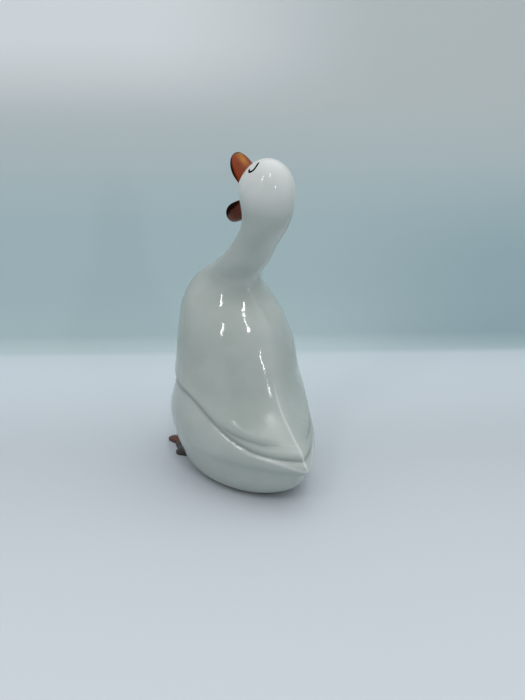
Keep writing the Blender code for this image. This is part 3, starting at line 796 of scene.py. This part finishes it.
def eye_line(name, side, skin):
    """A painted line that lies on the head and follows its curve."""
    corners = np.array(EYE_STROKE) * (side, 1, 1)
    walk = np.concatenate([[0], np.cumsum(np.linalg.norm(np.diff(corners, axis=0), axis=1))])
    line = natural_spline(walk, corners, np.linspace(0, walk[-1], EYE_STEPS))
    across_count = 2 * EYE_HALF_STEPS + 1
    points, faces = [], []
    for i, place in enumerate(line):
        along = Vector(line[min(i + 1, EYE_STEPS - 1)] - line[max(i - 1, 0)]).normalized()
        normal = skin.find_nearest(Vector(place))[1]
        across = along.cross(normal).normalized()
        share = i / (EYE_STEPS - 1)
        beyond = max(0.0, (EYE_START - share) / EYE_START, (share - EYE_END) / (1 - EYE_END))
        round_end = max(EYE_NARROWEST, math.sqrt(max(0.0, 1 - beyond ** 2)))
        half_width = EYE_WIDTH / 2 * round_end * (1 + EYE_SWELL * math.sin(share * math.pi))
        for step in range(-EYE_HALF_STEPS, EYE_HALF_STEPS + 1):
            spot, out = skin.find_nearest(Vector(place) + across * half_width * step / EYE_HALF_STEPS)[:2]
            rise = EYE_LAYER * (1 - (step / EYE_HALF_STEPS) ** 2) + EYE_LIFT
            if abs(step) == EYE_HALF_STEPS:
                rise -= EYE_SINK
            points.append(spot + out * rise)
    for i in range(EYE_STEPS - 1):
        for j in range(across_count - 1):
            a = i * across_count + j
            faces.append((a, a + 1, a + across_count + 1, a + across_count))
    mesh = bpy.data.meshes.new(name)
    mesh.from_pydata([tuple(point) for point in points], [], faces)
    middle = mesh.polygons[len(mesh.polygons) // 2]
    if middle.normal.dot(skin.find_nearest(middle.center)[1]) < 0:
        mesh.flip_normals()
    mesh.shade_smooth()
    stroke = bpy.data.objects.new(name, mesh)
    bpy.context.scene.collection.objects.link(stroke)
    return stroke


duck = build_duck([white_glaze(), brown_glaze(), bare_clay()])
add_fields(duck)
leave_base_bare(duck)
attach(duck, "root")
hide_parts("duck")

skin = BVHTree.FromPolygons([vertex.co for vertex in duck.data.vertices],
                            [face.vertices[:] for face in duck.data.polygons])
eye_paint = eye_black()
for name, side in (("left_eye_line", 1), ("right_eye_line", -1)):
    stroke = eye_line(name, side, skin)
    stroke.data.materials.append(eye_paint)
    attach(stroke, "root")

# View of the photograph: angles in degrees, lengths in metres, and a pixel that shows the view's centre
VIEW_AZIMUTH, VIEW_ELEVATION = 150, 17
VIEW_CENTRE = Vector((0, 0, 0.110))
CAMERA_DISTANCE = 0.480
LENS, SENSOR = 36, 36             # millimetres
PHOTO_WIDTH, PHOTO_HEIGHT = 525, 700
CENTRE_PIXEL = (240.5, 318)

# Floor paper that turns up into a wall behind the duck, square to the camera
WALL_DISTANCE, WALL_HEIGHT = 0.255, 0.45
CORNER_RADIUS, CORNER_STEPS = 0.015, 12
SHEET_HALF_WIDTH, FRONT_REACH = 3.0, 2.5
FLOOR_PAPER, FLOOR_PAPER_OTHER = (0.575, 0.612, 0.650), (0.555, 0.592, 0.630)
# Painted light: the floor is painted lighter away from the camera
FLOOR_FAR_LIT = (0.780, 0.840, 0.890)
# Painted light on the wall: its colour changes with height, with a painted glow high on the left and painted
# shade low on the right
WALL_FOOT, WALL_LOW, WALL_HIGH = (0.570, 0.700, 0.715), (0.520, 0.660, 0.680), (0.640, 0.695, 0.695)
WALL_GLOW, WALL_SHADE = (0.930, 0.950, 0.960), (0.430, 0.565, 0.600)
PAPER_ROUGHNESS, PAPER_SHINE = 0.60, 0.25

# Where the paper's colours and its painted light change, in metres: away from the camera, up the wall and to
# the right
FLOOR_LIT_FADE = (0.0, 0.22)
WALL_LOW_FADE, WALL_HIGH_FADE = (0.01, 0.08), (0.12, 0.26)
SHADE_SIDE_FADE, SHADE_HEIGHT_FADE = (0.05, 0.30), (0.20, 0.08)
GLOW_SIDE_FADE, GLOW_HEIGHT_FADE = (0.16, -0.10), (0.22, 0.31)
SEAM_FLOOR_FADE, SEAM_WALL_FADE = (0.225, 0.255), (0.0, 0.01)

# Soft room light, brightest high above on the far side, so that the near side lies in shade
ROOM_LOW, ROOM_HIGH, ROOM_SIDES = (0.150, 0.157, 0.163), (1.78, 1.83, 1.88), (0.580, 0.600, 0.610)
ROOM_BRIGHTEST = (290, 72)        # azimuth and elevation in degrees
ROOM_FALLOFF = 3.0
SIDES_ACROSS_FADE, SIDES_UP_FADE = (0.26, 0.56), (0.80, 0.45)

# Narrow windows that the glaze mirrors: directions in degrees, sizes in metres and power in watts
Lamp = namedtuple("Lamp", "name azimuth elevation width height power")
LAMPS = (
    Lamp("left_window", 118, 43, 0.024, 0.31, 0.85),
    Lamp("right_window", 160, 53, 0.022, 0.36, 1.1),
    Lamp("low_window", 176, 14.8, 0.024, 0.13, 0.42),
)
LAMP_DISTANCE = 1.0


def aim(item, place, target):
    """Put a lamp or the camera at a place, looking at a target with its top up."""
    ahead = (Vector(target) - Vector(place)).normalized()
    right = ahead.cross(Vector((0, 0, 1))).normalized()
    up = right.cross(ahead)
    item.matrix_world = Matrix(((right.x, up.x, -ahead.x, place[0]), (right.y, up.y, -ahead.y, place[1]),
                                (right.z, up.z, -ahead.z, place[2]), (0, 0, 0, 1)))


def direction(azimuth, elevation):
    """A unit vector: azimuth 0 is in front of the duck, 90 is on its left and 180 is behind it."""
    turn, rise = math.radians(azimuth), math.radians(elevation)
    return Vector((math.sin(turn) * math.cos(rise), -math.cos(turn) * math.cos(rise), math.sin(rise)))


def floor_directions():
    """Unit vectors over the floor, away from the camera and to its right."""
    away = -direction(VIEW_AZIMUTH, 0)
    return away, away.cross(Vector((0, 0, 1)))


def backdrop_paper():
    """Pale floor paper and a greyer wall, with light painted on them. The floor is lighter away from the
    camera, and the wall's colour changes with height. The wall has a painted glow at its top left and
    painted shade at its lower right.
    """
    material, tree, shader, place = new_material("backdrop_paper")
    height = height_of(tree, place)
    reach, side = (reach_along(tree, place, line) for line in floor_directions())
    floor = blend(tree, patches(tree, place, PAPER_CLOUDS), FLOOR_PAPER, FLOOR_PAPER_OTHER)
    # painted light: the floor is painted lighter away from the camera
    floor = blend(tree, ramp(tree, reach, *FLOOR_LIT_FADE), floor, FLOOR_FAR_LIT)
    # painted light: the wall's colour changes with height, with painted shade low on the right and a painted
    # glow high on the left
    wall = blend(tree, ramp(tree, height, *WALL_LOW_FADE), WALL_FOOT, WALL_LOW)
    wall = blend(tree, ramp(tree, height, *WALL_HIGH_FADE), wall, WALL_HIGH)
    shade = scaled(tree, ramp(tree, side, *SHADE_SIDE_FADE), ramp(tree, height, *SHADE_HEIGHT_FADE))
    wall = blend(tree, shade, wall, WALL_SHADE)
    glow = scaled(tree, ramp(tree, height, *GLOW_HEIGHT_FADE), ramp(tree, side, *GLOW_SIDE_FADE))
    wall = blend(tree, glow, wall, WALL_GLOW)
    past_seam = calculate(tree, "MAXIMUM", ramp(tree, reach, *SEAM_FLOOR_FADE),
                          ramp(tree, height, *SEAM_WALL_FADE))
    tree.links.new(blend(tree, past_seam, floor, wall), shader.inputs["Base Color"])
    shader.inputs["Roughness"].default_value = PAPER_ROUGHNESS
    shader.inputs["Specular IOR Level"].default_value = PAPER_SHINE
    show_front_only(tree, shader)
    return material


def show_front_only(tree, shader):
    """Make the back of a sheet clear, so that it doesn't hide the duck from behind the wall."""
    behind = add(tree, "ShaderNodeNewGeometry", {}).outputs["Backfacing"]
    clear = add(tree, "ShaderNodeBsdfTransparent", {}).outputs["BSDF"]
    seen = add(tree, "ShaderNodeMixShader", {0: behind, 1: shader.outputs["BSDF"], 2: clear})
    tree.links.new(seen.outputs["Shader"], tree.nodes["Material Output"].inputs["Surface"])


def add_backdrop():
    """One sheet: the floor, a rounded corner and the wall."""
    away, side = floor_directions()
    profile = [(-FRONT_REACH, 0.0), (WALL_DISTANCE - CORNER_RADIUS, 0.0)]
    for step in range(1, CORNER_STEPS + 1):
        turn = step / CORNER_STEPS * math.pi / 2
        profile.append((WALL_DISTANCE - CORNER_RADIUS + CORNER_RADIUS * math.sin(turn),
                        CORNER_RADIUS - CORNER_RADIUS * math.cos(turn)))
    profile.append((WALL_DISTANCE, WALL_HEIGHT))
    points = [away * reach + side * edge + Vector((0, 0, height))
              for reach, height in profile for edge in (-SHEET_HALF_WIDTH, SHEET_HALF_WIDTH)]
    faces = [(2 * i, 2 * i + 1, 2 * i + 3, 2 * i + 2) for i in range(len(profile) - 1)]
    mesh = bpy.data.meshes.new("backdrop")
    mesh.from_pydata([tuple(point) for point in points], [], faces)
    mesh.shade_smooth()
    sheet = bpy.data.objects.new("backdrop", mesh)
    bpy.context.scene.collection.objects.link(sheet)
    mesh.materials.append(backdrop_paper())


def add_room_light():
    """Light from all around, as a room gives it."""
    world = bpy.data.worlds.new("soft_room")
    bpy.context.scene.world = world
    world.use_nodes = True
    sky = world.node_tree
    seen = add(sky, "ShaderNodeTexCoord", {}).outputs["Generated"]
    toward_light = reach_along(sky, seen, direction(*ROOM_BRIGHTEST))
    bright = calculate(sky, "POWER", calculate(sky, "MAXIMUM", toward_light, 0.0), ROOM_FALLOFF)
    across = calculate(sky, "ABSOLUTE", reach_along(sky, seen, direction(VIEW_AZIMUTH + 90, 0)))
    upward = height_of(sky, seen)
    sides = scaled(sky, ramp(sky, across, *SIDES_ACROSS_FADE), ramp(sky, upward, *SIDES_UP_FADE))
    room = blend(sky, bright, blend(sky, sides, ROOM_LOW, ROOM_SIDES), ROOM_HIGH)
    background = sky.nodes["Background"]
    sky.links.new(room, background.inputs["Color"])
    background.inputs["Strength"].default_value = 1.0


def add_lamp(lamp):
    """A narrow lamp that stands in for a window of the room."""
    light = bpy.data.lights.new(lamp.name, "AREA")
    light.shape = "RECTANGLE"
    light.size, light.size_y = lamp.width, lamp.height
    light.energy = lamp.power
    item = bpy.data.objects.new(lamp.name, light)
    bpy.context.scene.collection.objects.link(item)
    aim(item, VIEW_CENTRE + direction(lamp.azimuth, lamp.elevation) * LAMP_DISTANCE, VIEW_CENTRE)


def add_camera():
    """The camera looks past the view's centre, which lies off the middle of the photograph."""
    camera = bpy.data.objects.new("camera", bpy.data.cameras.new("camera"))
    bpy.context.scene.collection.objects.link(camera)
    bpy.context.scene.camera = camera
    camera.data.sensor_width = SENSOR
    camera.data.lens = LENS
    toward = direction(VIEW_AZIMUTH, VIEW_ELEVATION)
    right = (-toward).cross(Vector((0, 0, 1))).normalized()
    up = right.cross(-toward)
    pixels_per_metre = PHOTO_HEIGHT / CAMERA_DISTANCE
    target = (VIEW_CENTRE + right * ((PHOTO_WIDTH / 2 - CENTRE_PIXEL[0]) / pixels_per_metre)
              + up * ((CENTRE_PIXEL[1] - PHOTO_HEIGHT / 2) / pixels_per_metre))
    aim(camera, VIEW_CENTRE + toward * CAMERA_DISTANCE, target)


add_backdrop()
add_room_light()
for lamp in LAMPS:
    add_lamp(lamp)
add_camera()
bpy.context.scene.view_settings.view_transform = "Standard"
